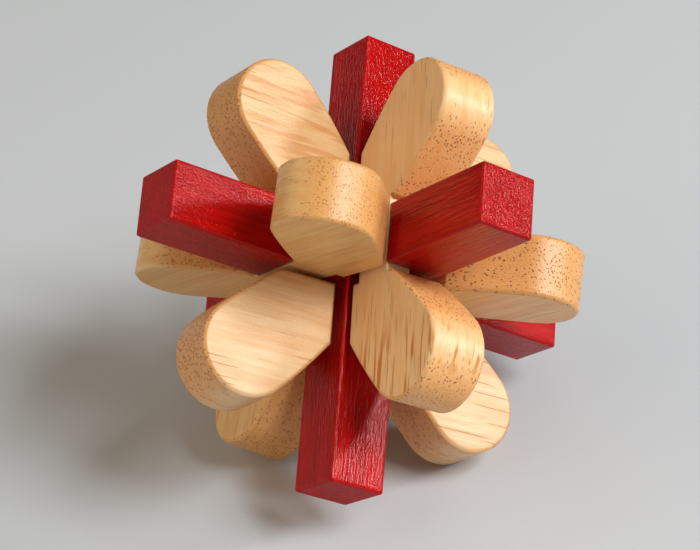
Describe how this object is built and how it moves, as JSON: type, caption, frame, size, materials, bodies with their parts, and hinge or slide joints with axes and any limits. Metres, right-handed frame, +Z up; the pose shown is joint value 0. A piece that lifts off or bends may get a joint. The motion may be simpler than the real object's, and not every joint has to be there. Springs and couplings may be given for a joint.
{
  "type": "burr puzzle",
  "caption": "Take-apart wooden burr puzzle: crossed red square bars locked by rounded natural-wood petal plates, standing on its petals.",
  "frame": {"origin": "on the table, right under the point where the three bars cross", "axes": "+Z up through the crossing point, along the diagonal between the three bars; -Y towards the low end of the upright bar; the key bar's end lies to +X"},
  "size_m": [0.0728, 0.0696, 0.0634],
  "materials": {
    "red_wood": "deep red stained wood under clear lacquer, fine grain",
    "natural_wood": "pale natural hardwood with fine brown pores, smooth satin",
    "pin_wood": "plain turned hardwood dowel"
  },
  "bodies": {
    "cross": {"cross_bar": "red_wood", "left_petal_plate": "natural_wood", "back_right_petal_plate": "natural_wood"},
    "key": {"key_bar": "red_wood", "key_pin": "pin_wood"},
    "right_plate": {"right_petal_plate": "natural_wood"},
    "upright": {"upright_bar": "red_wood"},
    "socket": {"socket_bar": "red_wood"},
    "back_left_plate": {"back_left_petal_plate": "natural_wood"},
    "top_plate": {"top_petal_plate": "natural_wood"},
    "bottom_plate": {"bottom_petal_plate": "natural_wood"}
  },
  "joints": [
    {"name": "key_slide", "type": "slide", "parent": "cross", "child": "key", "axis": [0.7071, -0.4082, 0.5774], "range_m": [0, 0.06]},
    {"name": "right_plate_slide", "type": "slide", "parent": "cross", "child": "right_plate", "axis": [0.7071, -0.4082, 0.5774], "range_m": [0, 0.03]},
    {"name": "upright_slide", "type": "slide", "parent": "cross", "child": "upright", "axis": [0.7071, -0.4082, 0.5774], "range_m": [0, 0.015]},
    {"name": "socket_slide", "type": "slide", "parent": "cross", "child": "socket", "axis": [-0.7071, 0.4082, -0.5774], "range_m": [0, 0.045]},
    {"name": "back_left_plate_slide", "type": "slide", "parent": "cross", "child": "back_left_plate", "axis": [-0.7071, 0.4082, -0.5774], "range_m": [0, 0.027]},
    {"name": "top_plate_slide", "type": "slide", "parent": "cross", "child": "top_plate", "axis": [-0.7071, 0.4082, -0.5774], "range_m": [0, 0.00675]},
    {"name": "bottom_plate_slide", "type": "slide", "parent": "cross", "child": "bottom_plate", "axis": [-0.7071, 0.4082, -0.5774], "range_m": [0, 0.0135]}
  ],
  "couplings": [
    {"joint": "right_plate_slide", "follows": "key_slide", "ratio": 0.5},
    {"joint": "upright_slide", "follows": "key_slide", "ratio": 0.25},
    {"joint": "back_left_plate_slide", "follows": "socket_slide", "ratio": 0.6},
    {"joint": "top_plate_slide", "follows": "socket_slide", "ratio": 0.15},
    {"joint": "bottom_plate_slide", "follows": "socket_slide", "ratio": 0.3}
  ]
}
